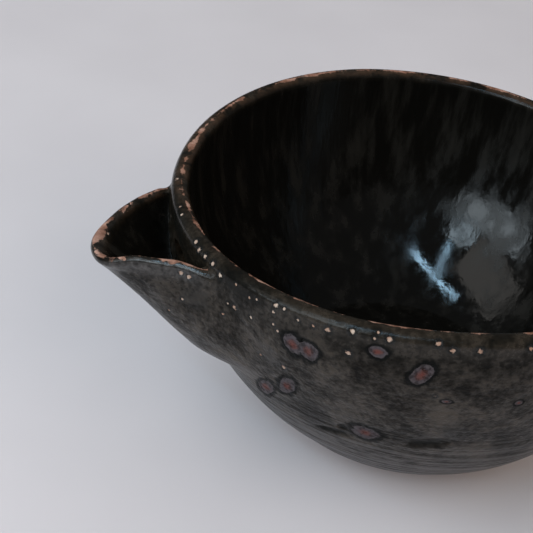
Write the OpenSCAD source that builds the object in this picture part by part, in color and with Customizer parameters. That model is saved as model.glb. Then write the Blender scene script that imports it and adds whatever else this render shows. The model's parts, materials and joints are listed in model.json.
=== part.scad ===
// Katakuchi: a footed stoneware pouring bowl with an open spout luted to its wall.
// Millimetres. The origin is the middle of the foot's resting face, +Z is up, and it pours towards +X.

/* [Bowl] */
// Diameter across the clay wall just under the rim
rim_d = 123.2; // [112:0.2:134]
// Height of the clay rim above the table
bowl_h = 66.5; // [63:0.5:71]
// Thickness of the clay wall
wall_t = 3.6; // [3:0.1:4.4]
// Radius of the arc that the side follows from rim to belly
side_r = 76; // [72:0.2:84]
// Radius of the arc that turns the side under to the foot
belly_r = 12; // [9:0.2:16]

/* [Foot ring] */
// Diameter of the ring at the table
foot_d = 47; // [42:0.5:48]
// Height of the ring, from the table to the underside of the bowl
foot_h = 5; // [4.6:0.1:6.5]
// Width of the ring where it stands on the table
foot_t = 4; // [3:0.1:5.5]
// How far each face of the ring leans between the table and the bowl
foot_lean = 0.8; // [0:0.1:1.2]
// Chamfer along both edges of the resting face
foot_chamfer = 0.6; // [0.3:0.1:0.9]

/* [Spout] */
// Reach of the spout's nose past the wall
spout_reach = 19.8; // [18:0.1:21.5]
// Width across the lip where it meets the wall
spout_w = 42; // [38:0.5:45]
// Drop of the spout's lip below the rim, at the wall
spout_drop = 5; // [4:0.5:7]
// Depth of the spout's root below the rim
spout_depth = 33; // [31:0.5:36]
// Slope of the spout's underside
keel_angle = 48.5; // [46.5:0.5:50.5]
// Fall of the lip towards the nose
lip_fall = 7; // [5:0.5:9]
// Height of the blunt nose
nose_h = 0.8; // [0.5:0.1:1.6]
// Radius of the blunt nose, seen from above
nose_r = 20; // [18:0.5:26]
// Thickness of the spout's clay
spout_t = 2.8; // [2.4:0.1:3.6]
// Thickness of the slip between the spout and the wall
slip_t = 0.8; // [0.6:0.1:1.2]

/* [Pour hole] */
// Diameter of the bore through the wall behind the spout
pour_d = 18; // [13:0.5:20]
// Clay between the spout's lip and the top of the bore
pour_bar = 1.5; // [1:0.1:3]

/* [Glaze] */
// Thickness of the glaze coat
glaze_t = 0.4; // [0.3:0.05:0.5]
// Width of the line of clay left bare along the crest of the rim
bare_w = 1; // [0.6:0.1:1.6]
// Angle of the belly's arc left bare next to the foot
bare_angle = 15; // [10:1:25]

/* [Hidden] */
$fn = 240;
clay_colour = [0.62, 0.47, 0.40];
slip_colour = [0.55, 0.42, 0.36];
glaze_colour = [0.16, 0.15, 0.13];
// Straight steps that the profile takes along the side, the belly and the lip
side_steps = 16;
belly_steps = 10;
lip_steps = 10;
rim_r = rim_d / 2;
lip_r = wall_t / 2;
lip_c = [rim_r - lip_r, bowl_h - lip_r];
lip_bare = asin(bare_w / 2 / lip_r);
// Centres of the side's and the belly's arcs, which meet in a common tangent
side_c = [rim_r - side_r, lip_c.y];
belly_z = foot_h + belly_r;
belly_c = [side_c.x + sqrt(pow(side_r - belly_r, 2) - pow(side_c.y - belly_z, 2)), belly_z];
turn = atan2(belly_c.y - side_c.y, belly_c.x - side_c.x);
// The spout is a leaning cone with a top line parallel to its lip, so the lip is a parabola in plan
spout_lip = bowl_h - spout_drop;
spout_root = bowl_h - spout_depth;
horn_keel = keel_angle + lip_fall;
horn_half = horn_keel / 2;
horn_tilt = horn_half - lip_fall;
horn_axis = [-cos(horn_tilt), 0, -sin(horn_tilt)];
// The lip's plane and the keel meet in a sharp tip past the blunt nose
tip_run = spout_reach + nose_h / (tan(keel_angle) + tan(lip_fall));
tip = [rim_r + tip_run, 0, spout_lip - tip_run * tan(lip_fall)];
wall_sag = rim_r - sqrt(pow(rim_r, 2) - pow(spout_w / 2, 2));
lip_run = (tip_run + wall_sag) / cos(lip_fall);
apex_len = pow(spout_w / 2, 2) / (2 * lip_run * (1 - cos(horn_keel)));
apex = tip + apex_len * [cos(keel_angle), 0, sin(keel_angle)];
// The cone runs on behind the wall until it is cut to the wall's curve
back_x = rim_r / 2;
horn_len = norm(apex);
// Where the lip meets the wall at its two ends
lip_top = spout_lip + wall_sag * tan(lip_fall);
pour_z = spout_lip - pour_bar - pour_d / 2;

function arc(centre, r, from, to, steps) =
    [for (i = [0 : steps]) let (a = from + (to - from) * i / steps) centre + r * [cos(a), sin(a)]];

// Lines of the wall's profile, at an offset from the clay's outer face
function side_line(grow) = arc(side_c, side_r + grow, turn, 0, side_steps);

function belly_line(grow, from = -90) = arc(belly_c, belly_r + grow, from, turn, belly_steps);

function lip_line(grow, from, to) = arc(lip_c, lip_r + grow, from, to, lip_steps);

function floor_point(grow) = [[0, foot_h - grow]];

function reversed(list) = [for (i = [len(list) - 1 : -1 : 0]) list[i]];

// Every turned piece starts opposite the spout
module turned()
    rotate([0, 0, 180])
        rotate_extrude()
            children();

// A layer of the side only, between two offsets from the clay's outer face
module side_layer(inner, outer)
    turned()
        polygon(concat(side_line(outer), reversed(side_line(inner))));

// All the room inside the side, out to an offset from the clay's outer face
module wall_core(grow) {
    line = side_line(grow);
    turned()
        polygon(concat([[0, line[0].y]], line, [[rim_r + grow, rim_d], [0, rim_d]]));
}

module horn(grow)
    translate(apex - horn_axis * grow / sin(horn_half))
        rotate([0, -90 - horn_tilt, 0])
            cylinder(h = horn_len, r1 = 0, r2 = horn_len * tan(horn_half));

// The cone cut off level at the root, with its tip cut to the blunt nose
module beak(grow) {
    nose_x = rim_r + spout_reach + grow / sin(horn_keel);
    intersection() {
        horn(grow);
        translate([0, 0, spout_root - grow]) {
            translate([back_x, -rim_r, 0])
                cube([nose_x - nose_r / 2 - back_x, rim_d, bowl_h]);
            translate([nose_x - nose_r, 0, 0])
                cylinder(h = bowl_h, r = nose_r);
        }
    }
}

module below_lip()
    translate([rim_r, 0, spout_lip])
        rotate([0, lip_fall, 0])
            translate([-rim_r, -rim_r, -bowl_h])
                cube([rim_d, rim_d, bowl_h]);

module pour_bore(d)
    translate([rim_r / 2, 0, pour_z])
        rotate([0, 90, 0])
            cylinder(h = rim_r, d = d);

module bowl()
    color(clay_colour)
        difference() {
            turned()
                polygon(concat(
                    floor_point(0),
                    belly_line(0),
                    side_line(0),
                    lip_line(0, 0, 180),
                    reversed(side_line(-wall_t)),
                    reversed(belly_line(-wall_t)),
                    floor_point(-wall_t)
                ));
            pour_bore(pour_d);
        }

module foot_ring() {
    outer = foot_d / 2;
    inner = outer - foot_t;
    color(clay_colour)
        turned()
            polygon([
                [inner + foot_chamfer, 0],
                [outer - foot_chamfer, 0],
                [outer, foot_chamfer],
                [outer + foot_lean, foot_h],
                [inner - foot_lean, foot_h],
                [inner, foot_chamfer]
            ]);
}

module spout()
    color(clay_colour)
        intersection() {
            difference() {
                beak(0);
                wall_core(slip_t);
                beak(-spout_t);
            }
            below_lip();
        }

module luting_slip()
    color(slip_colour)
        intersection() {
            side_layer(0, slip_t);
            difference() {
                beak(0);
                beak(-spout_t);
            }
            below_lip();
        }

module glaze_inside()
    color(glaze_colour)
        difference() {
            union() {
                turned()
                    polygon(concat(
                        floor_point(-wall_t),
                        belly_line(-wall_t),
                        side_line(-wall_t),
                        lip_line(0, 180, 90 + lip_bare),
                        lip_line(glaze_t, 90 + lip_bare, 180),
                        reversed(side_line(-wall_t - glaze_t)),
                        reversed(belly_line(-wall_t - glaze_t)),
                        floor_point(-wall_t - glaze_t)
                    ));
                intersection() {
                    pour_bore(pour_d);
                    side_layer(-wall_t - glaze_t, 0);
                }
            }
            pour_bore(pour_d - 2 * glaze_t);
        }

// A band of the outside coat between two heights
module coat_band(low, high)
    turned()
        intersection() {
            polygon(concat(
                belly_line(glaze_t, bare_angle - 90),
                side_line(glaze_t),
                lip_line(glaze_t, 0, 90 - lip_bare),
                lip_line(0, 90 - lip_bare, 0),
                reversed(side_line(0)),
                reversed(belly_line(0, bare_angle - 90))
            ));
            translate([0, low])
                square([rim_d, high - low]);
        }

// The spout interrupts the coat only between its root and its lip
module glaze_outside()
    color(glaze_colour) {
        coat_band(0, spout_root - glaze_t);
        difference() {
            coat_band(spout_root - glaze_t, lip_top);
            beak(glaze_t);
        }
        coat_band(lip_top, bowl_h + glaze_t);
    }

// Outside coat, trough coat, and the piece of the wall's coat that closes the trough. The lip stays bare
module glaze_spout()
    color(glaze_colour) {
        intersection() {
            difference() {
                beak(glaze_t);
                wall_core(0);
                beak(0);
            }
            below_lip();
        }
        intersection() {
            difference() {
                beak(-spout_t);
                wall_core(glaze_t);
                beak(-spout_t - glaze_t);
            }
            below_lip();
        }
        intersection() {
            difference() {
                side_layer(0, glaze_t);
                pour_bore(pour_d - 2 * glaze_t);
            }
            beak(-spout_t);
            below_lip();
        }
    }

bowl();
foot_ring();
spout();
luting_slip();
glaze_inside();
glaze_outside();
glaze_spout();
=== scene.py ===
import json
import math
import bpy
from mathutils import Matrix, Vector, noise

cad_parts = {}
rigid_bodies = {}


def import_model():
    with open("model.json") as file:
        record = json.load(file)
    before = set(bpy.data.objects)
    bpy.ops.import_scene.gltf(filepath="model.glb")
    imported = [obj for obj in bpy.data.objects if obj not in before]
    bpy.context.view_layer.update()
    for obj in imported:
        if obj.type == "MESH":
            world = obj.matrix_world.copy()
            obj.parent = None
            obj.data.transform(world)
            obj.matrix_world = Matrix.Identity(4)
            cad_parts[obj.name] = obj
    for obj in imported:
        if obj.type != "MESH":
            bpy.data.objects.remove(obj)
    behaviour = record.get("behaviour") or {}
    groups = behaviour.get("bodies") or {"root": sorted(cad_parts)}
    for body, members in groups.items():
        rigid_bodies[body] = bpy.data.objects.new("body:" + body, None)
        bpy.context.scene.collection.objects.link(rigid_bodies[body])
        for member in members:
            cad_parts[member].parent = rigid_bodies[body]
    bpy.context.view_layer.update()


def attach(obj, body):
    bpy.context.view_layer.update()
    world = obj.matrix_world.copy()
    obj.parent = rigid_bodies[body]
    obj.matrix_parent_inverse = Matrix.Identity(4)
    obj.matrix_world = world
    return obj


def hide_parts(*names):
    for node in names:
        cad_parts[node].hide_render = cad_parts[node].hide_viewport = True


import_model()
scene = bpy.context.scene
scene.view_settings.view_transform = "Standard"
mm = 0.001


def clearSelection():
    if bpy.context.object and bpy.context.object.mode != "OBJECT":
        bpy.ops.object.mode_set(mode="OBJECT")
    bpy.ops.object.select_all(action="DESELECT")


def pick(piece):
    clearSelection()
    piece.select_set(True)
    bpy.context.view_layer.objects.active = piece


# leaves nothing of the mesh selected, ready to pick its vertices, edges or faces
def startSelection(piece, kind):
    pick(piece)
    bpy.ops.object.mode_set(mode="EDIT")
    bpy.ops.mesh.select_mode(type=kind)
    bpy.ops.mesh.select_all(action="DESELECT")
    bpy.ops.object.mode_set(mode="OBJECT")


def applyModifier(piece, kind, **settings):
    pick(piece)
    modifier = piece.modifiers.new(kind.title(), kind)
    for key, value in settings.items():
        setattr(modifier, key, value)
    bpy.ops.object.modifier_apply(modifier=modifier.name)


def settle(piece):
    pick(piece)
    bpy.ops.object.transform_apply(location=True, rotation=True, scale=True)


def cutWith(piece, tool, operation):
    applyModifier(piece, "BOOLEAN", object=tool, operation=operation, solver="EXACT")
    bpy.data.objects.remove(tool)


def smoothStep(low, high, value):
    t = min(max((value - low) / (high - low), 0.0), 1.0)
    return t * t * (3 - 2 * t)


# points of an arc in the half plane of the profile, in mm
def arcPoints(centre, radius, start, end, steps):
    angles = [math.radians(start + (end - start) * i / steps) for i in range(steps + 1)]
    return [(centre[0] + radius * math.cos(a), centre[1] + radius * math.sin(a)) for a in angles]


# draws a profile vertex by vertex and spins it round the wheel's axis
def throwProfile(name, profile, turns):
    clearSelection()
    bpy.ops.mesh.primitive_plane_add(size=mm)
    piece = bpy.context.object
    piece.name = name
    bpy.ops.object.mode_set(mode="EDIT")
    bpy.ops.mesh.select_mode(type="VERT")
    bpy.ops.mesh.select_all(action="SELECT")
    bpy.ops.mesh.merge(type="CENTER")
    bpy.ops.transform.translate(value=(profile[0][0] * mm, 0, profile[0][1] * mm))
    for here, there in zip(profile, profile[1:]):
        step = ((there[0] - here[0]) * mm, 0, (there[1] - here[1]) * mm)
        bpy.ops.mesh.extrude_vertices_move(TRANSFORM_OT_translate={"value": step})
    bpy.ops.mesh.select_all(action="SELECT")
    bpy.ops.mesh.spin(steps=turns, angle=math.tau, center=(0, 0, 0), axis=(0, 0, 1))
    bpy.ops.mesh.select_all(action="SELECT")
    bpy.ops.mesh.remove_doubles(threshold=0.00001)
    bpy.ops.mesh.normals_make_consistent(inside=False)
    bpy.ops.object.mode_set(mode="OBJECT")
    return piece


# bowl: sizes in mm
bowlSizes = {
    "rimRadius": 61.6, "height": 66.5, "wall": 3.6, "sideRadius": 76.0, "bellyRadius": 12.0,
    "footHeight": 5.0, "glaze": 0.4, "bareAngle": 15.0, "glazeEdge": 1.2, "turns": 300,
    "holeWidth": 17.2, "holeHeight": 51.0, "holeBevel": 0.9, "holeSides": 64,
    "drillPlace": 60.0, "drillLength": 30.0,
}
# steps of the profile, from the middle of the underside over the rim to the middle of the inside
bowlSteps = {"floor": 8, "bare": 5, "belly": 12, "side": 44, "rim": 14, "sideInside": 42, "bellyInside": 14}
b = bowlSizes
lipRadius = b["wall"] / 2
lipCentre = (b["rimRadius"] - lipRadius, b["height"] - lipRadius)
sideCentre = (b["rimRadius"] - b["sideRadius"], lipCentre[1])
bellyHeight = b["footHeight"] + b["bellyRadius"]
bellyRun = math.sqrt((b["sideRadius"] - b["bellyRadius"]) ** 2 - (sideCentre[1] - bellyHeight) ** 2)
bellyCentre = (sideCentre[0] + bellyRun, bellyHeight)
turnAngle = math.degrees(math.atan2(bellyHeight - sideCentre[1], bellyRun))
skin = b["sideRadius"] + b["glaze"]


def flatPoints(start, end, height, steps):
    return [(start + (end - start) * i / steps, height) for i in range(steps + 1)]


def bowlProfile():
    n = bowlSteps
    inner = b["wall"] + b["glaze"]
    bareEnd = b["bareAngle"] - 90
    coatStart = bareEnd + b["glazeEdge"]
    points = flatPoints(0, bellyCentre[0], b["footHeight"], n["floor"])[:-1]
    points += arcPoints(bellyCentre, b["bellyRadius"], -90, bareEnd, n["bare"])
    points += arcPoints(bellyCentre, b["bellyRadius"] + b["glaze"], coatStart, turnAngle, n["belly"])[:-1]
    points += arcPoints(sideCentre, skin, turnAngle, 0, n["side"])[:-1]
    points += arcPoints(lipCentre, lipRadius + b["glaze"], 0, 180, n["rim"])[:-1]
    points += arcPoints(sideCentre, b["sideRadius"] - inner, 0, turnAngle, n["sideInside"])[:-1]
    points += arcPoints(bellyCentre, b["bellyRadius"] - inner, turnAngle, -90, n["bellyInside"])[:-1]
    points += flatPoints(bellyCentre[0], 0, b["footHeight"] + inner, n["floor"])
    return points


bowl = throwProfile("bowl_glazed", bowlProfile(), b["turns"])
bpy.ops.mesh.primitive_cylinder_add(
    vertices=b["holeSides"], radius=b["holeWidth"] / 2 * mm, depth=b["drillLength"] * mm,
    location=(b["drillPlace"] * mm, 0, b["holeHeight"] * mm), rotation=(0, math.pi / 2, 0))
cutWith(bowl, bpy.context.object, "DIFFERENCE")


# rounds the two edges of the pour hole: those that lie on the bore and run round it
def softenHole(piece):
    startSelection(piece, "EDGE")
    bore = b["holeWidth"] / 2 * mm
    slack, level = 0.05 * mm, 0.6 * mm  # most that an edge may stray from the bore, and along it
    for edge in piece.data.edges:
        ends = [piece.data.vertices[i].co for i in edge.vertices]
        offsets = [math.hypot(p.y, p.z - b["holeHeight"] * mm) for p in ends]
        onBore = ends[0].x > 0 and all(abs(o - bore) < slack for o in offsets)
        edge.select = onBore and abs(ends[0].x - ends[1].x) < level
    bpy.ops.object.mode_set(mode="EDIT")
    bpy.ops.mesh.bevel(offset=b["holeBevel"] * mm, segments=4, clamp_overlap=True)
    bpy.ops.object.mode_set(mode="OBJECT")


softenHole(bowl)
print("bowl thrown and pierced:", len(bowl.data.polygons), "faces")

# spout: sizes in mm, angles in degrees
spoutSizes = {
    "reach": 19.8, "width": 42.0, "drop": 5.0, "depth": 34.2, "keelAngle": 48.5, "lipFall": 7.0,
    "noseHeight": 0.8, "clay": 3.6, "lipClay": 2.5, "lipTaper": 9.0, "lipFlat": 0.9, "voxel": 0.42,
    "lipRound": 2.2, "noseRound": 1.0, "troughRound": 0.01, "rootRound": 3.0, "rootBow": 0.016,
    "filletTop": 1.8, "filletDeep": 6.0, "filletGrowth": 18.0,
    "nearRise": 2.0, "nearCurl": 2.6, "farBulge": 0.9, "farDrop": 1.4, "noseFlare": 0.3,
    "hornLength": 100.0, "hornSides": 220, "back": 20.0,
    "scribeTop": 90.0, "scribeSteps": 60, "scribeTurns": 240,
}
s = spoutSizes
lipHeight = b["height"] - s["drop"]
fall = math.radians(s["lipFall"])
keel = math.radians(s["keelAngle"])
hornHalf = (fall + keel) / 2
hornTilt = hornHalf - fall
hornAxis = Vector((-math.cos(hornTilt), 0, -math.sin(hornTilt)))
tipRun = s["reach"] + s["noseHeight"] / (math.tan(keel) + math.tan(fall))
wallSag = b["rimRadius"] - math.sqrt(b["rimRadius"] ** 2 - (s["width"] / 2) ** 2)
lipRun = (tipRun + wallSag) / math.cos(fall)
apexLength = (s["width"] / 2) ** 2 / (2 * lipRun * (1 - math.cos(fall + keel)))
tip = Vector((b["rimRadius"] + tipRun, 0, lipHeight - tipRun * math.tan(fall)))
apex = tip + apexLength * Vector((math.cos(keel), 0, math.sin(keel)))
# circle of the nose in plan, touching the lip's parabola at noseSide
lipSpread = (s["width"] / 2) ** 2 / (tipRun + wallSag)
noseRun = math.sqrt(lipSpread * (tipRun - s["reach"]))
noseRadius = noseRun + lipSpread / 2
noseX = b["rimRadius"] + s["reach"] - noseRadius
noseSide = lipSpread / 2 / noseRadius
lipPivot = Vector((b["rimRadius"], 0, lipHeight))
lipNormal = Vector((math.sin(fall), 0, math.cos(fall)))
spoutRoot = b["height"] - s["depth"]


def hornTip(grow):
    return apex - hornAxis * grow / math.sin(hornHalf)


def addHorn(name, grow):
    clearSelection()
    length = s["hornLength"]
    bpy.ops.mesh.primitive_cone_add(
        vertices=s["hornSides"], radius1=length * math.tan(hornHalf) * mm, radius2=0, depth=length * mm,
        location=(hornTip(grow) + hornAxis * length / 2) * mm, rotation=(0, math.pi / 2 - hornTilt, 0))
    horn = bpy.context.object
    horn.name = name
    settle(horn)
    return horn


def trimAt(piece, point, normal):
    pick(piece)
    bpy.ops.object.mode_set(mode="EDIT")
    bpy.ops.mesh.select_all(action="SELECT")
    bpy.ops.mesh.bisect(plane_co=point, plane_no=normal, use_fill=True, clear_outer=True)
    bpy.ops.object.mode_set(mode="OBJECT")


# removes the crumbs that the remesh leaves at sharp corners: all that the nose isn't part of
def dropCrumbs(piece):
    startSelection(piece, "VERT")
    max(piece.data.vertices, key=lambda vertex: vertex.co.x).select = True
    bpy.ops.object.mode_set(mode="EDIT")
    bpy.ops.mesh.select_linked()
    bpy.ops.mesh.select_all(action="INVERT")
    bpy.ops.mesh.delete(type="VERT")
    bpy.ops.object.mode_set(mode="OBJECT")


# the rough shape: a hollow cone cut at the lip, the nose and the root,
# and scribed to the middle of the wall
def roughSpout():
    noseFront = b["rimRadius"] + s["reach"]
    beaks = []
    for name, grow in (("spout_glazed", b["glaze"]), ("trough", b["glaze"] - s["clay"])):
        beak = addHorn(name, grow)
        trimAt(beak, ((noseFront + grow) * mm, 0, 0), (1, 0, 0))
        trimAt(beak, (s["back"] * mm, 0, 0), (-1, 0, 0))
        trimAt(beak, (0, 0, (spoutRoot - grow) * mm), (0, 0, -1))
        beaks.append(beak)
    piece, hollow = beaks
    cutWith(piece, hollow, "DIFFERENCE")
    core = arcPoints(sideCentre, b["sideRadius"] - b["wall"] / 2, turnAngle, 0, s["scribeSteps"])
    core = [(0, core[0][1])] + core + [(core[-1][0], s["scribeTop"]), (0, s["scribeTop"])]
    cutWith(piece, throwProfile("scribe", core, s["scribeTurns"]), "DIFFERENCE")
    trimAt(piece, lipPivot * mm, lipNormal)
    applyModifier(piece, "REMESH", mode="VOXEL", voxel_size=s["voxel"] * mm)
    dropCrumbs(piece)
    applyModifier(piece, "SMOOTH", factor=0.5, iterations=4)
    return piece


spout = roughSpout()
print("spout roughed out:", len(spout.data.polygons), "faces")


# gaps are signed distances in mm with their slopes, positive outside
def wallGap(p):
    across = math.hypot(p.x, p.y)
    reach = math.hypot(across - sideCentre[0], p.z - sideCentre[1])
    slope = (across - sideCentre[0]) / reach
    return reach - skin, Vector((slope * p.x / across, slope * p.y / across, (p.z - sideCentre[1]) / reach))


hornApex = hornTip(b["glaze"])


def coneGap(p):
    out = p - hornApex
    along = out.dot(hornAxis)
    radial = out - hornAxis * along
    gap = radial.length * math.cos(hornHalf) - along * math.sin(hornHalf)
    return gap, radial.normalized() * math.cos(hornHalf) - hornAxis * math.sin(hornHalf)


# an arc in front, and behind it the lines that touch it on both sides
def noseGap(p):
    out = Vector((p.x - noseX, p.y, 0))
    way = out.normalized()
    if way.x < noseSide:
        way = Vector((noseSide, math.copysign(math.sqrt(1 - noseSide ** 2), p.y), 0))
    return out.dot(way) - noseRadius - b["glaze"], way


def lipGap(p):
    return (p - lipPivot).dot(lipNormal), lipNormal


# the root rises to both sides of the keel
def rootGap(p):
    slope = Vector((0, 2 * s["rootBow"] * p.y, -1))
    return (spoutRoot + s["rootBow"] * p.y ** 2 - p.z) / slope.length, slope.normalized()


# soft union and soft overlap of two gaps
def softUnion(first, second, soft):
    part = min(max(0.5 + 0.5 * (second[0] - first[0]) / soft, 0), 1)
    gap = second[0] + (first[0] - second[0]) * part - soft * part * (1 - part)
    return gap, first[1] * part + second[1] * (1 - part)


def softOverlap(first, second, soft):
    gap, slope = softUnion((-first[0], -first[1]), (-second[0], -second[1]), soft)
    return -gap, -slope


# where the hand has moved the lip, in mm from none to full: out to one side, along x, and down
lipZones = {
    "near": {"side": (0, 9), "start": (57, 67), "end": (73, 84), "down": (2, 22)},
    "far": {"side": (0, 8), "start": (60, 68), "end": (70, 80), "down": (2, 14)},
    "farRoot": {"side": (6, 14), "end": (57.5, 62.5), "down": (2, 14)},
    "nose": {"start": (72, 80), "down": (0.5, 5)},
}


def zoneWeight(name, side, along, below):
    zone = lipZones[name]
    weight = smoothStep(*zone["side"], side) if "side" in zone else 1.0
    if "start" in zone:
        weight *= smoothStep(*zone["start"], along)
    if "end" in zone:
        weight *= 1 - smoothStep(*zone["end"], along)
    return weight * (1 - smoothStep(*zone["down"], below))


# the near lip stands higher and leans in, the far one swells and sinks at the wall,
# and the edge of the nose turns out a little
def lipCurl(p):
    below = max(-lipGap(p)[0], 0)
    near = zoneWeight("near", p.y, p.x, below)
    far = zoneWeight("far", -p.y, p.x, below)
    farRoot = zoneWeight("farRoot", -p.y, p.x, below)
    nose = zoneWeight("nose", p.y, p.x, below)
    lift = s["nearRise"] * near - s["farDrop"] * farRoot
    return Vector((s["noseFlare"] * nose, -s["nearCurl"] * near - s["farBulge"] * far, lift))


def spoutGap(p):
    p = p - lipCurl(p)
    clay = s["lipClay"] + (s["clay"] - s["lipClay"]) * smoothStep(0, s["lipTaper"], -lipGap(p)[0])
    outside = softOverlap(coneGap(p), noseGap(p), s["noseRound"])
    shell = softOverlap(outside, (-outside[0] - clay, -outside[1]), s["troughRound"])
    shell = softOverlap(shell, lipGap(p), s["lipRound"])
    return softOverlap(shell, rootGap(p), s["rootRound"])


def filletWidth(p):
    deep = smoothStep(0, s["filletGrowth"], -lipGap(p)[0])
    return s["filletTop"] + (s["filletDeep"] - s["filletTop"]) * deep


# what the hand leaves in the clay, in mm: a rim that rises and falls, a belly out of round, small lumps
# the turns are in radians, and the pairs are heights, or radii on the floor, from none to full
handWork = {
    "lump": 0.3, "lumpGrain": 26.0, "lumpFrom": (1, 8),
    "rimLift": -0.56, "rimSaddle": 1.6, "saddleTurn": 0.04, "rimFrom": 12.0,
    "rimPush": 0.35, "rimOval": 0.22, "ovalTurn": 2.45, "triangleTurn": 0.82,
    "bellyDent": 0.4, "bellyPush": 0.57, "bellyOval": 0.98, "bellyTurn": 0.39,
    "bellyFrom": (5, 8.5), "bellyTo": (32, 62), "floorFrom": (4, 24),
}
h = handWork
noise.seed_set(3)  # the same lumps in each run


def lumps(p):
    return noise.noise_vector(p / h["lumpGrain"]) * h["lump"] * smoothStep(*h["lumpFrom"], p.z)


def wallDrift(p):
    a = math.atan2(p.y, p.x)
    high = smoothStep(h["rimFrom"], b["height"], p.z)
    low = smoothStep(*h["bellyFrom"], p.z) * (1 - smoothStep(*h["bellyTo"], p.z))
    low *= smoothStep(*h["floorFrom"], math.hypot(p.x, p.y))
    oval = math.cos(2 * a - h["ovalTurn"]) + math.cos(3 * a - h["triangleTurn"])
    rim = h["rimPush"] * math.sin(a) + h["rimOval"] * oval
    belly = h["bellyDent"] + h["bellyPush"] * math.sin(a) + h["bellyOval"] * math.cos(2 * a - h["bellyTurn"])
    out = rim * high - belly * low
    lift = (h["rimLift"] - h["rimSaddle"] * math.cos(2 * a - h["saddleTurn"])) * high
    return Vector((out * math.cos(a), out * math.sin(a), lift))


# the place on the true wheel-thrown shape that a point of the uneven one comes from
def onWheel(p):
    start = p
    for i in range(2):  # two rounds come close enough
        start = p - wallDrift(start)
    return start


def jointGap(p):
    p = p - lumps(p)
    return softUnion(wallGap(onWheel(p)), spoutGap(p), filletWidth(p))


# luting, in mm: how closely the clay is fitted to the joint, and where on wall and spout it follows it
jointSizes = {
    "rounds": 8, "close": 0.003, "stride": 1.0, "leastSlope": 0.1,
    "behind": 30.0, "belowRim": 2.0, "skinSlack": 0.3, "deep": 2.0, "fineDeep": 2.5, "fineReach": 1.0,
    "bowlBlend": (-1.2, -0.1), "spoutBlend": (-2.1, -1.3),
}
j = jointSizes


# carries a point to the soft joint between wall and spout
def toJoint(p):
    for i in range(j["rounds"]):
        gap, slope = jointGap(p)
        if abs(gap) < j["close"]:
            break
        stride = gap / max(slope.length_squared, j["leastSlope"])
        p = p - slope * max(min(stride, j["stride"]), -j["stride"])
    return p


# tool gouges low on the wall: centre in mm, half length, half height, turn in degrees
gougeSizes = {
    "depth": 0.55, "slope": (0.2, 1.4), "fineReach": 2.0, "fineLength": 1.0,
    "marks": [
        ((36.1, 38.0, 29.8), 5.4, 1.5, 19), ((20.5, 51.4, 34.9), 5.8, 2.3, 22),
        ((35.4, 41.0, 33.2), 1.4, 1.7, 0), ((46.9, 40.4, 58.4), 0.5, 0.9, 0),
        ((27.2, 55.7, 59.6), 0.4, 0.4, 0), ((-32.9, 41.7, 29.0), 5.0, 0.9, 8),
        ((-39.0, -36.9, 30.0), 6.0, 1.0, -10)],
}
markDepth = 2.4  # how far a mark counts into and out of the wall, in mm
farOff = 9.0  # the distance given where there is no mark


# out of the wall, along the mark and across it
def markAxes(mark):
    centre, turn = mark[0], mark[3]
    out = wallGap(Vector(centre))[1].normalized()
    side = Vector((0, 0, 1)).cross(out).normalized()
    rise = out.cross(side)
    c, n = math.cos(math.radians(turn)), math.sin(math.radians(turn))
    return Matrix((out, side * c + rise * n, rise * c - side * n))


gouges = [(mark, markAxes(mark)) for mark in gougeSizes["marks"]]
longGouges = [(mark, axes) for mark, axes in gouges if mark[1] > gougeSizes["fineLength"]]


# 0 in the middle of a gouge, 1 at its edge; on the inside of the wall it is far off
def gougeReach(p, mark, axes):
    centre, length, height = mark[:3]
    offset = p - Vector(centre)
    if offset.length > 2 * length + 2:  # well clear of it
        return farOff
    local = axes @ offset
    return math.hypot(local.y / length, local.z / height) if abs(local.x) < markDepth else farOff


def pressGouges(piece):
    for vertex in piece.data.vertices:
        p = vertex.co / mm
        for mark, axes in gouges:
            press = 1 - smoothStep(*gougeSizes["slope"], gougeReach(p, mark, axes))
            vertex.co -= axes[0] * gougeSizes["depth"] * press * mm


# finer faces on the wall where the test says so
def refineFaces(piece, test):
    startSelection(piece, "FACE")
    for face in piece.data.polygons:
        face.select = test(face.center / mm)
    bpy.ops.object.mode_set(mode="EDIT")
    bpy.ops.mesh.subdivide(number_cuts=2)
    bpy.ops.object.mode_set(mode="OBJECT")


def nearJoint(p):
    onSkin = p.x > j["behind"] and p.z < b["height"] - j["belowRim"] and abs(wallGap(p)[0]) < j["skinSlack"]
    return onSkin and -j["fineDeep"] < spoutGap(p)[0] < s["filletDeep"] + j["fineReach"]


def nearGouge(p):
    return any(gougeReach(p, mark, axes) < gougeSizes["fineReach"] for mark, axes in longGouges)


def lutBowl(piece):
    for vertex in piece.data.vertices:
        p = vertex.co / mm
        if p.x < j["behind"] or p.z > b["height"] - j["belowRim"]:
            continue
        thrown = p - lumps(p)
        if abs(wallGap(onWheel(thrown))[0]) > j["skinSlack"]:
            continue
        gap = spoutGap(thrown)[0]
        if -j["deep"] < gap < filletWidth(p):
            vertex.co = p.lerp(toJoint(p), smoothStep(*j["bowlBlend"], gap)) * mm


def lutSpout(piece):
    for vertex in piece.data.vertices:
        p = vertex.co / mm
        p += lipCurl(p)
        vertex.co = p.lerp(toJoint(p), smoothStep(*j["spoutBlend"], wallGap(onWheel(p))[0])) * mm


# distance along the surface from the crest of the rim or the lip, for the wear of the glaze
def markCrest(piece, measure):
    crest = piece.data.attributes.new("fromCrest", "FLOAT", "POINT")
    for vertex in piece.data.vertices:
        crest.data[vertex.index].value = measure(vertex.co / mm)


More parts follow.
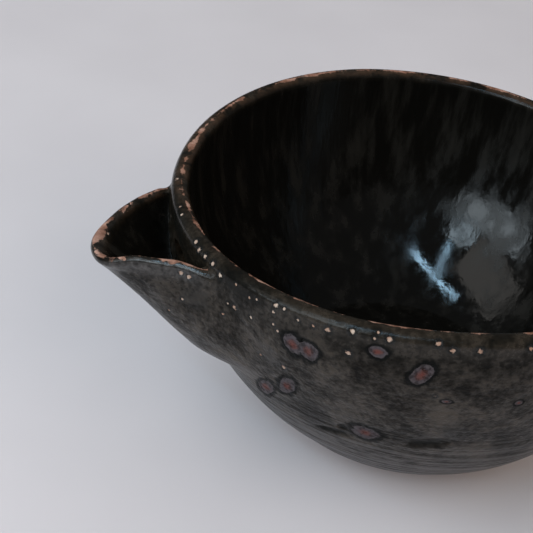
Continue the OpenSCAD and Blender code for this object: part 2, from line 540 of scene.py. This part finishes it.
def fromRim(p):
    across = math.hypot(p.x, p.y)
    up = p.z - lipCentre[1]
    if up > 0:
        return math.atan2(across - lipCentre[0], up) * (lipRadius + b["glaze"])
    # outside or inside of the middle of the wall
    if math.degrees(math.atan2(up, across - sideCentre[0])) > turnAngle:
        side = math.hypot(across - sideCentre[0], up) - b["sideRadius"] + lipRadius
    elif across > bellyCentre[0]:
        side = math.hypot(across - bellyCentre[0], p.z - bellyHeight) - b["bellyRadius"] + lipRadius
    else:
        side = b["footHeight"] + lipRadius - p.z
    return math.copysign(math.pi / 2 * (lipRadius + b["glaze"]) - up, side)


def fromLip(p):
    p = p - lipCurl(p)
    across = coneGap(p)[0] + s["lipClay"] / 2
    drop = -lipGap(p)[0]
    return across if drop < s["lipFlat"] else math.copysign(abs(across) + drop - s["lipFlat"], across)


refineFaces(bowl, nearJoint)
refineFaces(bowl, nearGouge)
markCrest(bowl, fromRim)
for vertex in bowl.data.vertices:
    place = vertex.co / mm
    place += wallDrift(place)
    vertex.co = (place + lumps(place)) * mm
lutBowl(bowl)
pressGouges(bowl)
lutSpout(spout)
markCrest(spout, fromLip)
print("spout luted to the bowl")

# foot ring: sizes in mm
footSizes = {"radius": 23.5, "height": 5.3, "width": 4.0, "lean": 0.8, "round": 0.9, "turns": 160}
f = footSizes
footInner = f["radius"] - f["width"]
foot = throwProfile("foot_turned", [
    (footInner, 0), (f["radius"], 0), (f["radius"] + f["lean"], f["height"]),
    (footInner - f["lean"], f["height"]), (footInner, 0)], f["turns"])
applyModifier(foot, "BEVEL", width=f["round"] * mm, segments=3,
              limit_method="ANGLE", angle_limit=math.radians(40))
print("foot ring turned")

pieces = {bowl: ("bowl", "glaze_inside", "glaze_outside"), spout: ("spout", "luting_slip", "glaze_spout"),
          foot: ("foot_ring",)}
for piece, nodes in pieces.items():
    pick(piece)
    bpy.ops.object.shade_smooth()
    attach(piece, "root")
    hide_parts(*nodes)


def newMaterial(name):
    material = bpy.data.materials.new(name)
    material.use_nodes = True
    return material, material.node_tree, material.node_tree.nodes["Principled BSDF"]


# adds a node; keyword values are options, the table fills inputs with values or links
def addNode(tree, kind, inputs, output=0, **options):
    node = tree.nodes.new("ShaderNode" + kind)
    for key, value in options.items():
        setattr(node, key, value)
    for key, value in inputs.items():
        if isinstance(value, bpy.types.NodeSocket):
            tree.links.new(value, node.inputs[key])
        else:
            node.inputs[key].default_value = value
    return node.outputs[output]


def calc(tree, operation, first, second=0.0, third=0.0):
    return addNode(tree, "Math", {0: first, 1: second, 2: third}, operation=operation)


def fade(tree, value, low, high, start=0.0, end=1.0):
    inputs = {"Value": value, "From Min": low, "From Max": high, "To Min": start, "To Max": end}
    return addNode(tree, "MapRange", inputs, interpolation_type="SMOOTHSTEP")


def highest(tree, *fields):
    field = fields[0]
    for other in fields[1:]:
        field = calc(tree, "MAXIMUM", field, other)
    return field


def blendValue(tree, factor, first, second):
    return addNode(tree, "Mix", {0: factor, 2: first, 3: second})


# colours are links or tables of red, green and blue
def blendColour(tree, factor, first, second):
    first, second = [(*c, 1) if isinstance(c, tuple) else c for c in (first, second)]
    return addNode(tree, "Mix", {0: factor, 6: first, 7: second}, output=2, data_type="RGBA")


def noiseField(tree, place, scale, detail=3.0, rough=0.55, warp=0.0):
    inputs = {"Vector": place, "Scale": scale, "Detail": detail, "Roughness": rough, "Distortion": warp}
    return addNode(tree, "TexNoise", inputs)


def stretched(tree, place, scale):
    return addNode(tree, "Mapping", {"Vector": place, "Scale": scale})


def colourRamp(tree, value, stops):
    node = tree.nodes.new("ShaderNodeValToRGB")
    while len(node.color_ramp.elements) < len(stops):
        node.color_ramp.elements.new(0.5)
    for element, (position, colour) in zip(node.color_ramp.elements, stops):
        element.position = position
        element.color = (*colour, 1)
    tree.links.new(value, node.inputs[0])
    return node.outputs[0]


# object coordinates in mm
def placeInMm(tree):
    place = addNode(tree, "TexCoord", {}, output="Object")
    return addNode(tree, "Mapping", {"Vector": place, "Scale": (1000, 1000, 1000)})


# distance to a mark on the wall, 1 at its edge: centre in mm, half length, half height, turn in degrees
def markField(tree, place, mark):
    centre, length, height = mark[:3]
    turned = markAxes(mark).transposed().to_euler()
    inputs = {"Vector": place, "Location": centre, "Rotation": turned, "Scale": (markDepth, length, height)}
    local = addNode(tree, "Mapping", inputs, vector_type="TEXTURE")
    return addNode(tree, "VectorMath", {0: local}, output="Value", operation="LENGTH")


def nearest(tree, fields, soft=0.01):
    field = fields[0]
    for other in fields[1:]:
        field = calc(tree, "SMOOTH_MIN", field, other, soft)
    return field


# glaze: colours in linear light, sizes and places of marks in mm on the wall
glazeLook = {
    "darkSkin": (0.003, 0.0028, 0.0022), "midSkin": (0.0125, 0.0098, 0.0066),
    "paleSkin": (0.043, 0.0335, 0.024), "halo": (0.0065, 0.0068, 0.0062),
    # the grey for low on the wall is partly mottle and partly a painted reflection of the pale floor
    "lowGreyAndFloorReflection": (0.045, 0.041, 0.042), "inside": (0.0030, 0.0028, 0.0023),
    "insideRun": (0.0105, 0.0098, 0.0082), "cream": (0.46, 0.37, 0.30),
    "peach": (0.28, 0.165, 0.115), "break": (0.050, 0.030, 0.019),
    "clay": [(0.32, (0.10, 0.044, 0.026)), (0.5, (0.22, 0.115, 0.080)), (0.68, (0.36, 0.225, 0.175))],
    "bloomRings": [
        (0.0, (0.11, 0.034, 0.028)), (0.17, (0.092, 0.044, 0.040)), (0.30, (0.056, 0.045, 0.050)),
        (0.45, (0.072, 0.063, 0.067)), (0.5, (0.004, 0.0044, 0.0044)), (0.74, (0.003, 0.0034, 0.003))],
    "mottleGrain": 0.10, "fineGrain": 0.85, "hazeGrain": 0.3, "wobbleGrain": 0.35, "streakGrain": 0.17,
    "runStretch": (0.22, 0.22, 0.035), "lineStretch": (0.014, 0.014, 0.28),
    "clayRough": 0.8, "linerShine": 0.5, "glossSpot": (-24.0, -31.5, 15.0), "spotEdge": (9, 17),
    "linerRough": (0.085, 0.2), "smallPit": 0.42, "widePit": 0.66,
    "lineDepth": 2.2, "gougeDepth": -0.4, "wornDepth": -0.10, "pitDepth": -0.25, "bloomDepth": -0.10,
    "blooms": [
        ((48.3, 38.6, 56.3), 2.3, 2.8, 25), ((46.0, 41.4, 56.2), 2.2, 2.4, -30),
        ((35.6, 51.2, 61.8), 1.9, 1.5, 0), ((27.5, 55.6, 58.0), 3.1, 1.9, 62),
        ((48.2, 26.0, 34.8), 4.6, 1.9, 59), ((46.6, 33.9, 41.3), 4.0, 1.9, 64),
        ((31.8, 44.5, 34.3), 3.1, 2.9, -8), ((21.5, 56.9, 51.0), 1.1, 0.6, 0),
        ((6.9, 60.4, 50.9), 0.9, 0.8, 0), ((-39.6, 45.9, 50.0), 3.0, 2.0, 30),
        ((-60.8, 8.4, 55.0), 2.4, 2.0, -25), ((-50.7, -30.4, 44.0), 2.8, 1.6, 15),
        ((-8.3, -61.0, 56.0), 2.0, 2.4, 0), ((26.3, -52.6, 43.0), 3.0, 1.8, -35)],
    "smallPits": [
        (51.6, 34.8, 62.3), (50.1, 36.7, 64.2), (54.9, 29.1, 62.4), (54.0, 30.9, 63.0), (54.5, 29.6, 57.6),
        (51.4, 34.8, 59.2), (50.7, 35.7, 58.0), (48.1, 39.5, 63.2), (45.9, 42.2, 63.3), (35.7, 50.4, 66.0),
        (36.4, 50.5, 64.9), (51.9, 30.4, 47.9), (23.9, 56.3, 52.2), (61.0, -1.7, 64.3), (60.5, -4.8, 64.4),
        (56.7, 25.5, 63.4), (58.3, 22.8, 54.1), (57.7, 23.7, 57.4), (65.1, 15.2, 53.7), (66.9, 11.6, 48.4),
        (76.6, -6.4, 58.3)],
    "widePits": [
        (51.3, 35.0, 64.1), (43.7, 44.4, 63.7), (39.9, 47.7, 65.1), (40.1, 47.5, 59.7), (34.0, 52.1, 65.5),
        (48.4, 35.4, 47.8), (58.8, 20.9, 62.9), (59.5, 17.7, 63.8), (60.3, 14.5, 63.7), (60.8, 11.7, 63.6),
        (60.8, 9.3, 64.1), (56.7, 25.2, 57.3), (64.1, 16.5, 60.4), (65.6, 15.3, 60.8), (25.7, 56.5, 66.2),
        (23.1, 57.9, 65.2), (18.1, 59.5, 65.5), (8.2, 61.6, 66.1)],
}


def distanceTo(tree, place, point):
    return addNode(tree, "VectorMath", {0: place, 1: point}, output="Value", operation="DISTANCE")


def pitField(tree, place, pits):
    return nearest(tree, [distanceTo(tree, place, pit) for pit in pits])


def buildGlaze():
    g = glazeLook
    material, tree, shader = newMaterial("iron_glaze")
    place = placeInMm(tree)
    crest = addNode(tree, "Attribute", {}, output="Fac", attribute_name="fromCrest")
    along = addNode(tree, "SeparateXYZ", {0: place})
    height = along.node.outputs["Z"]
    inside = fade(tree, crest, -1.0, -4.0)
    awayFromCrest = calc(tree, "ABSOLUTE", crest)
    onSpout = fade(tree, along, 60, 64)
    # how far round to the near side, in mm
    toNear = calc(tree, "MULTIPLY", along, 0.5)
    toNear = calc(tree, "MULTIPLY_ADD", along.node.outputs["Y"], 0.86, toNear)

    # mottled skin with darker clouds; greyer towards the foot, partly grey mottle and partly a painted
    # reflection of the pale floor; black with faint runs inside
    mottle = noiseField(tree, place, g["mottleGrain"], 5, 0.62, 0.4)
    fine = noiseField(tree, place, g["fineGrain"], 4, 0.6)
    tone = calc(tree, "MULTIPLY_ADD", fine, 0.55, calc(tree, "SUBTRACT", mottle, 0.27))
    colour = colourRamp(tree, tone, [(0.32, g["darkSkin"]), (0.5, g["midSkin"]), (0.70, g["paleSkin"])])
    cells = addNode(tree, "TexVoronoi", {"Vector": place, "Scale": 0.075, "Randomness": 1.0}, feature="F1")
    haze = noiseField(tree, place, g["hazeGrain"], 3)
    cloud = fade(tree, calc(tree, "MULTIPLY_ADD", haze, 0.5, cells), 0.62, 0.36)
    colour = blendColour(tree, calc(tree, "MULTIPLY", cloud, 0.6), colour, g["halo"])
    # painted reflection of the pale floor low on the wall, mixed with grey mottle
    low = calc(tree, "MULTIPLY", fade(tree, height, 34, 9), fade(tree, mottle, 0.3, 0.65))
    colour = blendColour(tree, low, colour, g["lowGreyAndFloorReflection"])
    high = fade(tree, height, 50, 63)
    colour = blendColour(tree, calc(tree, "MULTIPLY", high, 0.4), colour, g["halo"])
    runs = noiseField(tree, stretched(tree, place, g["runStretch"]), 1.0, 4, 0.6)
    liner = blendColour(tree, fade(tree, runs, 0.45, 0.75), g["inside"], g["insideRun"])
    colour = blendColour(tree, inside, colour, liner)

    # throwing lines and tool gouges
    lines = noiseField(tree, stretched(tree, place, g["lineStretch"]), 1.0, 3, 0.5, 0.3)
    lineDepth = calc(tree, "MULTIPLY", lines, fade(tree, height, 46, 12, 0.12, 1.0))
    lineDepth = calc(tree, "MULTIPLY", lineDepth, calc(tree, "SUBTRACT", 1.0, inside))
    wobble = noiseField(tree, place, g["wobbleGrain"], 3)
    gouge = nearest(tree, [markField(tree, place, mark) for mark in gougeSizes["marks"]])
    gouge = calc(tree, "MULTIPLY_ADD", inside, farOff, gouge)
    gouge = fade(tree, calc(tree, "MULTIPLY_ADD", wobble, 0.7, gouge), 1.5, 0.7)
    colour = blendColour(tree, gouge, colour, g["halo"])

    # lilac blooms with a red-brown middle and a dark ring
    bloom = nearest(tree, [markField(tree, place, mark) for mark in g["blooms"]], 0.5)
    bloom = calc(tree, "MULTIPLY_ADD", inside, farOff, bloom)
    bloom = calc(tree, "MULTIPLY_ADD", wobble, 0.8, bloom)
    bloom = calc(tree, "ADD", bloom, calc(tree, "MULTIPLY_ADD", fine, 0.7, -0.75))
    bloomColour = colourRamp(tree, calc(tree, "MULTIPLY", bloom, 0.5), g["bloomRings"])
    bloomColour = blendColour(tree, fade(tree, fine, 0.52, 0.38, 0.0, 0.6), bloomColour, g["halo"])
    bloomMask = fade(tree, bloom, 1.65, 1.2)
    colour = blendColour(tree, bloomMask, colour, bloomColour)

    # pits: the ones by the spout, and scattered ones round the rest of the rim
    small = calc(tree, "DIVIDE", pitField(tree, place, g["smallPits"]), g["smallPit"])
    wide = calc(tree, "DIVIDE", pitField(tree, place, g["widePits"]), g["widePit"])
    grid = addNode(tree, "TexVoronoi", {"Vector": place, "Scale": 0.2})
    chance = addNode(tree, "SeparateColor", {0: grid.node.outputs["Color"]})
    closed = highest(tree, fade(tree, toNear, 16, 24), fade(tree, chance, 0.42, 0.38),
                     fade(tree, height, 52, 46), inside)
    scattered = calc(tree, "MULTIPLY_ADD", grid, 7.5, calc(tree, "MULTIPLY", closed, farOff))
    pit = nearest(tree, [small, wide, scattered])
    pit = calc(tree, "MULTIPLY_ADD", noiseField(tree, place, 1.9, 2), 1.5, calc(tree, "SUBTRACT", pit, 0.75))
    colour = blendColour(tree, fade(tree, pit, 2.6, 1.1), colour, g["halo"])
    cream = fade(tree, pit, 0.9, 0.5)
    creamColour = colourRamp(tree, haze, [(0.35, g["peach"]), (0.65, g["cream"])])
    colour = blendColour(tree, cream, colour, creamColour)

    # the glaze breaks brown near the crest and wears through in streaks
    streaks = noiseField(tree, place, g["streakGrain"], 5, 0.68, 0.3)
    inward = fade(tree, toNear, 12, 34, 0.1, 1.0)
    inward = calc(tree, "MULTIPLY", inward, calc(tree, "MULTIPLY_ADD", onSpout, -0.75, 1.0))
    offCrest = calc(tree, "ABSOLUTE", calc(tree, "ADD", crest, inward))
    broken = fade(tree, streaks, 0.40, 0.56, 0.0, 0.75)
    broken = calc(tree, "MULTIPLY", fade(tree, offCrest, 2.6, 0.6), broken)
    broken = calc(tree, "MULTIPLY", broken, fade(tree, toNear, 12, 34, 1.0, 0.1))
    colour = blendColour(tree, broken, colour, g["break"])
    worn = calc(tree, "MULTIPLY_ADD", offCrest, -0.17, streaks)
    worn = fade(tree, calc(tree, "MULTIPLY_ADD", onSpout, 0.035, worn), 0.45, 0.50)
    clay = colourRamp(tree, noiseField(tree, place, 0.45, 4, 0.6), g["clay"])
    colour = blendColour(tree, worn, colour, clay)

    # bare clay under the belly
    bare = fade(tree, calc(tree, "MULTIPLY_ADD", wobble, 0.8, height), 6.6, 6.2)
    bare = calc(tree, "MULTIPLY", bare, fade(tree, crest, 0.0, 1.0))
    colour = blendColour(tree, bare, colour, clay)
    tree.links.new(colour, shader.inputs["Base Color"])

    # the liner is glossiest in one spot low on the far side
    spot = distanceTo(tree, place, g["glossSpot"])
    linerGloss = fade(tree, spot, *g["spotEdge"], *g["linerRough"])
    linerGloss = calc(tree, "MULTIPLY", linerGloss, fade(tree, runs, 0.35, 0.65, 0.45, 1.5))
    gloss = calc(tree, "MULTIPLY_ADD", mottle, 0.24, calc(tree, "MULTIPLY_ADD", fine, 0.14, 0.16))
    gloss = calc(tree, "MULTIPLY", gloss, fade(tree, awayFromCrest, 3, 14, 0.72, 1.0))
    gloss = blendValue(tree, inside, gloss, linerGloss)
    matt = highest(tree, worn, bare, cream, calc(tree, "MULTIPLY", bloomMask, 0.35))
    tree.links.new(blendValue(tree, matt, gloss, g["clayRough"]), shader.inputs["Roughness"])

    # marks and the band under the rim shine less, the crest and the lip of the spout more
    dull = calc(tree, "MAXIMUM", bloomMask, gouge)
    sheen = fade(tree, tone, 0.36, 0.64, 0.10, 0.35)
    sheen = calc(tree, "MULTIPLY", sheen, calc(tree, "MULTIPLY_ADD", dull, -0.65, 1.0))
    sheen = calc(tree, "MULTIPLY", sheen, fade(tree, awayFromCrest, 2, 8, 1.6, 1.0))
    sheen = calc(tree, "MULTIPLY", sheen, calc(tree, "MULTIPLY_ADD", high, -0.35, 1.0))
    lipSheen = calc(tree, "MULTIPLY_ADD", onSpout, fade(tree, crest, 6, 2, 0.0, 2.2), 1.0)
    sheen = calc(tree, "MULTIPLY", sheen, lipSheen)
    shine = blendValue(tree, inside, sheen, g["linerShine"])
    tree.links.new(shine, shader.inputs["Specular IOR Level"])

    # relief in mm, calmer by the crest and inside
    calm = fade(tree, awayFromCrest, 3, 13, 0.3, 1.0)
    swell = calc(tree, "MULTIPLY", fade(tree, inside, 0, 1, 0.42, 0.03), calm)
    grain = calc(tree, "MULTIPLY", fade(tree, inside, 0, 1, 0.11, 0.004), calm)
    ripple = calc(tree, "MULTIPLY", inside, fade(tree, spot, *g["spotEdge"], 0.0, 0.12))
    relief = calc(tree, "MULTIPLY", lineDepth, g["lineDepth"])
    layers = [
        (calc(tree, "ADD", mottle, wobble), swell), (fine, grain), (runs, ripple),
        (gouge, g["gougeDepth"]), (worn, g["wornDepth"]),
        (fade(tree, pit, 1.3, 0.5), g["pitDepth"]), (fade(tree, bloom, 1.15, 0.9), g["bloomDepth"])]
    for layer, depth in layers:
        relief = calc(tree, "MULTIPLY_ADD", layer, depth, relief)
    bump = addNode(tree, "Bump", {"Height": relief, "Strength": 1.0, "Distance": mm})
    tree.links.new(bump, shader.inputs["Normal"])
    return material


# clay of the foot: bare, rough, with dark specks
clayLook = {
    "body": [(0.3, (0.13, 0.066, 0.042)), (0.5, (0.21, 0.118, 0.082)), (0.72, (0.30, 0.19, 0.14))],
    "speck": (0.035, 0.022, 0.016), "rough": (0.7, 0.92),
    "bodyGrain": 0.25, "speckGrain": 0.7, "sandGrain": 1.6,
}


def buildClay():
    c = clayLook
    material, tree, shader = newMaterial("bare_clay")
    place = placeInMm(tree)
    body = noiseField(tree, place, c["bodyGrain"], 5, 0.65)
    colour = colourRamp(tree, body, c["body"])
    specks = addNode(tree, "TexVoronoi", {"Vector": place, "Scale": c["speckGrain"]})
    colour = blendColour(tree, fade(tree, specks, 0.2, 0.12), colour, c["speck"])
    tree.links.new(colour, shader.inputs["Base Color"])
    tree.links.new(fade(tree, body, 0.2, 0.8, *c["rough"]), shader.inputs["Roughness"])
    sand = noiseField(tree, place, c["sandGrain"], 4, 0.7)
    relief = calc(tree, "MULTIPLY_ADD", sand, 0.12, calc(tree, "MULTIPLY", body, 0.2))
    tree.links.new(addNode(tree, "Bump", {"Height": relief, "Distance": mm}), shader.inputs["Normal"])
    return material


# floor: pale, with a faint cloudiness, its size in metres
floorLook = {
    "size": 3, "cloudGrain": 0.012, "rough": (0.85, 0.95),
    "tones": [(0.3, (0.540, 0.527, 0.550)), (0.7, (0.575, 0.562, 0.585))],
}


def buildFloor():
    material, tree, shader = newMaterial("pale_floor")
    cloud = noiseField(tree, placeInMm(tree), floorLook["cloudGrain"], 3)
    tree.links.new(colourRamp(tree, cloud, floorLook["tones"]), shader.inputs["Base Color"])
    tree.links.new(fade(tree, cloud, 0.2, 0.8, *floorLook["rough"]), shader.inputs["Roughness"])
    return material


glaze = buildGlaze()
for piece in (bowl, spout):
    piece.data.materials.append(glaze)
foot.data.materials.append(buildClay())
print("glaze and clay mixed")

clearSelection()
bpy.ops.mesh.primitive_plane_add(size=floorLook["size"])
floor = bpy.context.object
floor.name = "floor"
floor.data.materials.append(buildFloor())

# light: directions in degrees round the pot, sizes and distances in metres, brightness in watts
# the mirrored lamps are seen in the glaze
lamps = {
    "sky_key": {
        "turn": 2, "rise": 44, "roll": 0, "away": 1.4, "size": (1.5, 1.2), "watts": 18.0,
        "tint": (0.93, 0.965, 1.0), "mirrored": False},
    "room_fill": {
        "turn": 112, "rise": 38, "roll": 0, "away": 1.5, "size": (1.6, 1.2), "watts": 13.5,
        "tint": (1.0, 0.84, 0.73), "mirrored": False},
    "ceiling": {
        "turn": -110, "rise": 64, "roll": 0, "away": 1.5, "size": (2.0, 2.0), "watts": 7.5,
        "tint": (1.0, 0.97, 0.96), "mirrored": False},
    "window_bar": {
        "turn": 37, "rise": 51, "roll": -14.6, "away": 0.95, "size": (0.63, 0.03), "watts": 0.95,
        "tint": (0.47, 0.76, 1.0), "mirrored": True},
    "window_post": {
        "turn": 35, "rise": 43.5, "roll": 6, "away": 1.0, "size": (0.04, 0.2), "watts": 0.24,
        "tint": (0.47, 0.76, 1.0), "mirrored": True},
    "window_side": {
        "turn": 31, "rise": 33, "roll": 0, "away": 1.0, "size": (0.22, 0.12), "watts": 0.4,
        "tint": (0.70, 0.88, 1.0), "mirrored": True},
    "window_low": {
        "turn": 17, "rise": 23, "roll": 0, "away": 1.1, "size": (0.85, 0.2), "watts": 1.7,
        "tint": (0.80, 0.92, 1.0), "mirrored": True},
    "window_haze": {
        "turn": 0, "rise": 40, "roll": 0, "away": 1.1, "size": (0.7, 0.3), "watts": 0.55,
        "tint": (1.0, 0.97, 0.93), "mirrored": True},
}
roomLight = {"tint": (0.9, 0.95, 1, 1), "strength": 0.06}
target = Vector((0, 0, 0.04))  # the middle of the pot
for name, lamp in lamps.items():
    turn, rise = math.radians(lamp["turn"]), math.radians(lamp["rise"])
    way = Vector((math.cos(turn) * math.cos(rise), math.sin(turn) * math.cos(rise), math.sin(rise)))
    bpy.ops.object.light_add(type="AREA", location=target + way * lamp["away"])
    light = bpy.context.object
    light.name = name
    aim = (-way).to_track_quat("-Z", "Y").to_matrix() @ Matrix.Rotation(math.radians(lamp["roll"]), 3, "Z")
    light.rotation_euler = aim.to_euler()
    light.data.shape = "RECTANGLE"
    light.data.size, light.data.size_y = lamp["size"]
    light.data.energy = lamp["watts"]
    light.data.color = lamp["tint"]
    light.visible_glossy = lamp["mirrored"]
world = bpy.data.worlds.new("room")
scene.world = world
world.use_nodes = True
background = world.node_tree.nodes["Background"]
background.inputs["Color"].default_value = roomLight["tint"]
background.inputs["Strength"].default_value = roomLight["strength"]
print("floor and lamps set")

# camera: focal length and frame in pixels, angles of the view in degrees, places and sensor in mm
viewSizes = {
    "focal": 1200, "frame": 533, "sensor": 36, "tilt": 33.9, "roll": 5.4, "spoutTurn": 201.5,
    "right": 39.6, "up": 19.7, "away": 282.1, "height": 66.8,
}


def placeCamera():
    v = viewSizes
    tilt = math.radians(v["tilt"])
    roll = math.radians(v["roll"])
    back = Vector((0, -math.cos(tilt), math.sin(tilt)))
    right = Vector((1, 0, 0))
    up = back.cross(right)
    level = math.cos(roll), math.sin(roll)
    right, up = right * level[0] + up * level[1], up * level[0] - right * level[1]
    place = back * v["away"] - right * v["right"] - up * v["up"]
    spin = Matrix.Rotation(-math.radians(v["spoutTurn"]), 4, "Z")
    turn = Matrix((right, up, back)).transposed().to_4x4()
    data = bpy.data.cameras.new("photo_view")
    data.sensor_width = v["sensor"]
    data.lens = v["sensor"] * v["focal"] / v["frame"]
    data.clip_start = 0.01
    camera = bpy.data.objects.new("photo_view", data)
    scene.collection.objects.link(camera)
    lift = Matrix.Translation((0, 0, v["height"] * mm))
    camera.matrix_world = lift @ spin @ Matrix.Translation(place * mm) @ turn
    scene.camera = camera


placeCamera()
